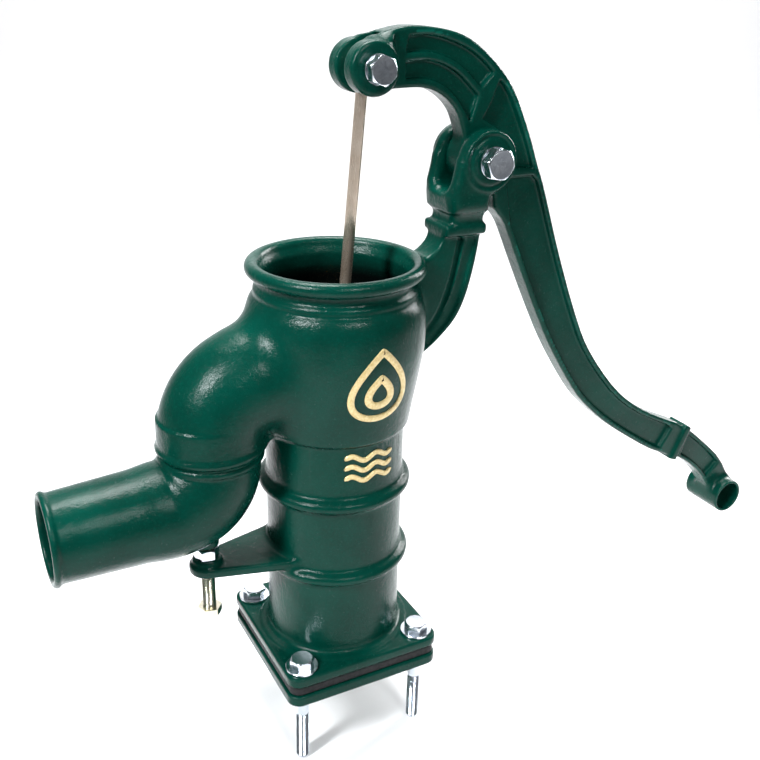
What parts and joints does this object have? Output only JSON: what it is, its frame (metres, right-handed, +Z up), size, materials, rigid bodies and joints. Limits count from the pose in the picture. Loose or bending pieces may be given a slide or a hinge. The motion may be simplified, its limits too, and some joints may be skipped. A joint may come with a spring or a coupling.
{
  "type": "hand well pump",
  "caption": "Hand-worked well pump: flared cast bowl and barrel on a square flange, down-turned spout, curved lever on an integral post, rod and leather piston.",
  "frame": {"origin": "centre of the underside of the square base flange", "axes": "+Z up the barrel axis, +X towards the lever, -X towards the spout"},
  "size_m": [0.7725, 0.156, 0.6367],
  "materials": {
    "enamel": "deep green gloss enamel over sand-cast iron",
    "zinc": "bright blue-white zinc plate",
    "yellow_zinc": "pale yellow passivated zinc plate",
    "rod_steel": "drawn and polished bar",
    "rubber": "black moulded sheet",
    "leather": "oiled pump leather",
    "brass": "cast and turned brass",
    "cast_iron": "bare casting",
    "gold_paint": "gold paint on raised casting relief"
  },
  "bodies": {
    "pump": {"pump_body": "enamel", "upper_barrel": "enamel", "foot_flange": "enamel", "pump_bowl": "enamel", "outlet_neck": "enamel", "handle_post": "enamel", "spout_lug": "enamel", "base_flange": "enamel", "flange_gasket": "rubber", "foot_clack_pin": "brass", "spout_gasket": "rubber", "spout_set_nut": "zinc", "fulcrum_bolt": "zinc", "fulcrum_spring_washer": "zinc", "fulcrum_nut": "zinc", "flange_bolt_1": "zinc", "flange_bolt_2": "zinc", "flange_bolt_3": "zinc", "flange_bolt_4": "zinc", "flange_washer_1": "zinc", "flange_washer_2": "zinc", "flange_washer_3": "zinc", "flange_washer_4": "zinc"},
    "lever": {"handle_lever": "enamel", "clevis_bolt": "zinc", "clevis_spring_washer": "zinc", "clevis_nut": "zinc"},
    "rod": {"piston_rod": "rod_steel", "rod_collar_nut": "brass", "rod_foot_nut": "brass"},
    "piston": {"piston_stirrup": "brass", "piston_cup_leather": "leather", "piston_seat": "brass"},
    "piston_valve": {"piston_valve_disc": "rubber", "piston_valve_weight": "brass"},
    "clack": {"foot_clack": "cast_iron", "foot_clack_leather": "leather", "foot_clack_screw": "brass"},
    "spout": {"spout_elbow": "enamel"},
    "set_bolt": {"spout_set_bolt": "yellow_zinc"}
  },
  "joints": [
    {"name": "handle_swing", "type": "hinge", "parent": "pump", "child": "lever", "pos_m": [0.1293, 0, 0.4594], "axis": [0, -1, 0], "range_deg": [0, 55]},
    {"name": "rod_swing", "type": "hinge", "parent": "lever", "child": "rod", "pos_m": [0.0225, 0, 0.5347], "axis": [0, -1, 0], "range_deg": [-52, 0]},
    {"name": "piston_slide", "type": "slide", "parent": "pump", "child": "piston", "axis": [0, 0, -1], "range_m": [0, 0.125]},
    {"name": "piston_valve_lift", "type": "slide", "parent": "piston", "child": "piston_valve", "axis": [0, 0, 1], "range_m": [0, 0.006]},
    {"name": "foot_clack_lift", "type": "hinge", "parent": "pump", "child": "clack", "pos_m": [0.033, 0, 0.022], "axis": [0, 1, 0], "range_deg": [0, 35]},
    {"name": "spout_swivel", "type": "hinge", "parent": "pump", "child": "spout", "pos_m": [-0.113, 0, 0.235], "axis": [0, 0, 1], "range_deg": [-30, 30]},
    {"name": "set_bolt_screw", "type": "slide", "parent": "pump", "child": "set_bolt", "axis": [0, 0, -1], "range_m": [0, 0.008]}
  ],
  "couplings": [
    {"joint": "rod_swing", "follows": "handle_swing", "ratio": -0.9045},
    {"joint": "piston_slide", "follows": "handle_swing", "m_per_rad": 0.1237}
  ]
}
